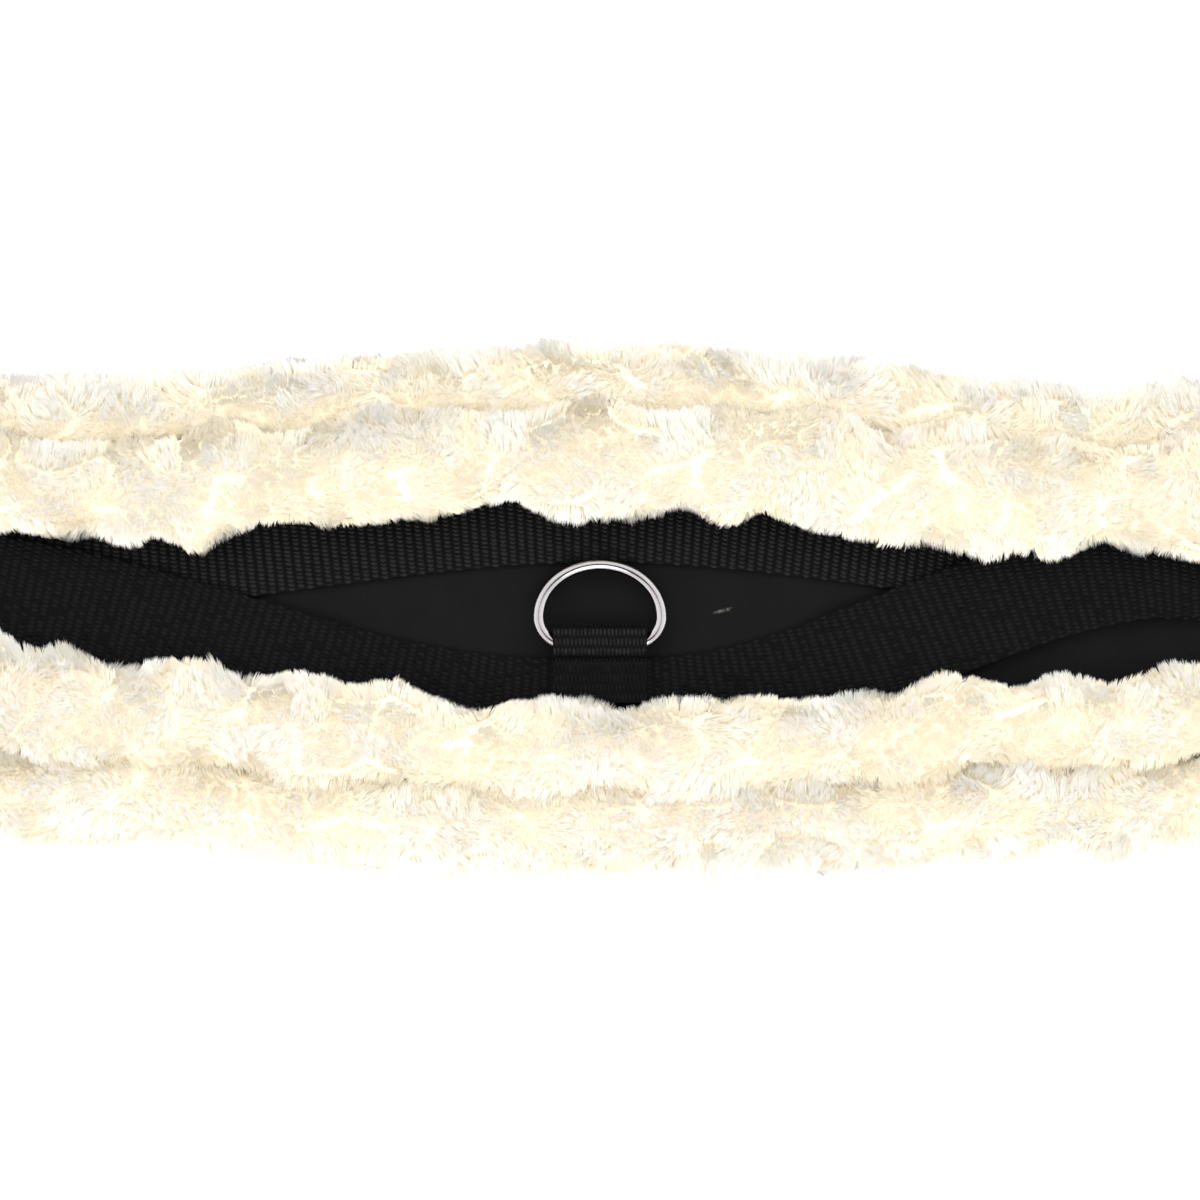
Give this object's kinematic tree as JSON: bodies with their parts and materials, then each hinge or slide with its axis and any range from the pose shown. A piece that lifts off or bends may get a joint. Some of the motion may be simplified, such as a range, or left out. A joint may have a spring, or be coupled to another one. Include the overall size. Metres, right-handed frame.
{
  "type": "saddle girth",
  "caption": "Short saddle girth: fleece-lined pad with fleece edge rolls, crossing webbing straps, a central D-ring, and elastic straps with roller buckles at both ends.",
  "frame": {"origin": "middle of the underside, on the fleece side that lies against the horse", "axes": "+X along the girth towards its right end, +Y towards its rear edge, +Z out of its outer face"},
  "size_m": [0.7, 0.128, 0.0353],
  "materials": {
    "fleece": "deep pile, matte",
    "foam": "matte",
    "neoprene": "matte",
    "webbing": "ribbed weave, low sheen",
    "binding": "matte",
    "patch": "grained, satin",
    "elastic": "ribbed, matte",
    "ring_metal": "polished nickel plate",
    "buckle_metal": "bright, slightly worn"
  },
  "bodies": {
    "root": {"fleece_lining": "fleece", "foam_core": "foam", "outer_panel": "neoprene", "edge_roll_front": "fleece", "edge_roll_rear": "fleece", "roll_filler_front": "foam", "roll_filler_rear": "foam", "webbing_over": "webbing", "webbing_under": "webbing", "d_ring_tab": "webbing", "end_binding_left": "binding", "end_binding_right": "binding", "end_patch_left": "patch", "end_patch_right": "patch", "elastic_strap_left_front": "elastic", "elastic_strap_left_rear": "elastic", "elastic_strap_right_front": "elastic", "elastic_strap_right_rear": "elastic"},
    "d_ring": {"d_ring": "ring_metal"},
    "strap_end_left_front": {"strap_loop_left_front": "elastic"},
    "buckle_left_front": {"buckle_frame_left_front": "buckle_metal"},
    "roller_left_front": {"buckle_roller_left_front": "buckle_metal"},
    "tongue_left_front": {"buckle_tongue_left_front": "buckle_metal"},
    "strap_end_left_rear": {"strap_loop_left_rear": "elastic"},
    "buckle_left_rear": {"buckle_frame_left_rear": "buckle_metal"},
    "roller_left_rear": {"buckle_roller_left_rear": "buckle_metal"},
    "tongue_left_rear": {"buckle_tongue_left_rear": "buckle_metal"},
    "strap_end_right_front": {"strap_loop_right_front": "elastic"},
    "buckle_right_front": {"buckle_frame_right_front": "buckle_metal"},
    "roller_right_front": {"buckle_roller_right_front": "buckle_metal"},
    "tongue_right_front": {"buckle_tongue_right_front": "buckle_metal"},
    "strap_end_right_rear": {"strap_loop_right_rear": "elastic"},
    "buckle_right_rear": {"buckle_frame_right_rear": "buckle_metal"},
    "roller_right_rear": {"buckle_roller_right_rear": "buckle_metal"},
    "tongue_right_rear": {"buckle_tongue_right_rear": "buckle_metal"}
  },
  "joints": [
    {"name": "d_ring_flip", "type": "hinge", "parent": "root", "child": "d_ring", "pos_m": [0, -0.0096, 0.021], "axis": [1, 0, 0], "range_deg": [0, 115]},
    {"name": "elastic_stretch_left_front", "type": "slide", "parent": "root", "child": "strap_end_left_front", "axis": [-1, 0, 0], "range_m": [0, 0.03], "stiffness_N_per_m": 2500, "deforming": ["elastic_strap_left_front"]},
    {"name": "buckle_swing_left_front", "type": "hinge", "parent": "strap_end_left_front", "child": "buckle_left_front", "pos_m": [-0.3145, -0.024, 0.0052], "axis": [0, 1, 0], "range_deg": [-60, 40]},
    {"name": "tongue_lift_left_front", "type": "hinge", "parent": "buckle_left_front", "child": "tongue_left_front", "pos_m": [-0.3145, -0.024, 0.0052], "axis": [0, 1, 0], "range_deg": [0, 80]},
    {"name": "roller_spin_left_front", "type": "hinge", "parent": "buckle_left_front", "child": "roller_left_front", "pos_m": [-0.3465, -0.024, 0.0038], "axis": [0, 1, 0], "continuous": true},
    {"name": "elastic_stretch_left_rear", "type": "slide", "parent": "root", "child": "strap_end_left_rear", "axis": [-1, 0, 0], "range_m": [0, 0.03], "stiffness_N_per_m": 2500, "deforming": ["elastic_strap_left_rear"]},
    {"name": "buckle_swing_left_rear", "type": "hinge", "parent": "strap_end_left_rear", "child": "buckle_left_rear", "pos_m": [-0.3145, 0.024, 0.0052], "axis": [0, 1, 0], "range_deg": [-60, 40]},
    {"name": "tongue_lift_left_rear", "type": "hinge", "parent": "buckle_left_rear", "child": "tongue_left_rear", "pos_m": [-0.3145, 0.024, 0.0052], "axis": [0, 1, 0], "range_deg": [0, 80]},
    {"name": "roller_spin_left_rear", "type": "hinge", "parent": "buckle_left_rear", "child": "roller_left_rear", "pos_m": [-0.3465, 0.024, 0.0038], "axis": [0, 1, 0], "continuous": true},
    {"name": "elastic_stretch_right_front", "type": "slide", "parent": "root", "child": "strap_end_right_front", "axis": [1, 0, 0], "range_m": [0, 0.03], "stiffness_N_per_m": 2500, "deforming": ["elastic_strap_right_front"]},
    {"name": "buckle_swing_right_front", "type": "hinge", "parent": "strap_end_right_front", "child": "buckle_right_front", "pos_m": [0.3145, -0.024, 0.0052], "axis": [0, -1, 0], "range_deg": [-60, 40]},
    {"name": "tongue_lift_right_front", "type": "hinge", "parent": "buckle_right_front", "child": "tongue_right_front", "pos_m": [0.3145, -0.024, 0.0052], "axis": [0, -1, 0], "range_deg": [0, 80]},
    {"name": "roller_spin_right_front", "type": "hinge", "parent": "buckle_right_front", "child": "roller_right_front", "pos_m": [0.3465, -0.024, 0.0038], "axis": [0, 1, 0], "continuous": true},
    {"name": "elastic_stretch_right_rear", "type": "slide", "parent": "root", "child": "strap_end_right_rear", "axis": [1, 0, 0], "range_m": [0, 0.03], "stiffness_N_per_m": 2500, "deforming": ["elastic_strap_right_rear"]},
    {"name": "buckle_swing_right_rear", "type": "hinge", "parent": "strap_end_right_rear", "child": "buckle_right_rear", "pos_m": [0.3145, 0.024, 0.0052], "axis": [0, -1, 0], "range_deg": [-60, 40]},
    {"name": "tongue_lift_right_rear", "type": "hinge", "parent": "buckle_right_rear", "child": "tongue_right_rear", "pos_m": [0.3145, 0.024, 0.0052], "axis": [0, -1, 0], "range_deg": [0, 80]},
    {"name": "roller_spin_right_rear", "type": "hinge", "parent": "buckle_right_rear", "child": "roller_right_rear", "pos_m": [0.3465, 0.024, 0.0038], "axis": [0, 1, 0], "continuous": true}
  ]
}
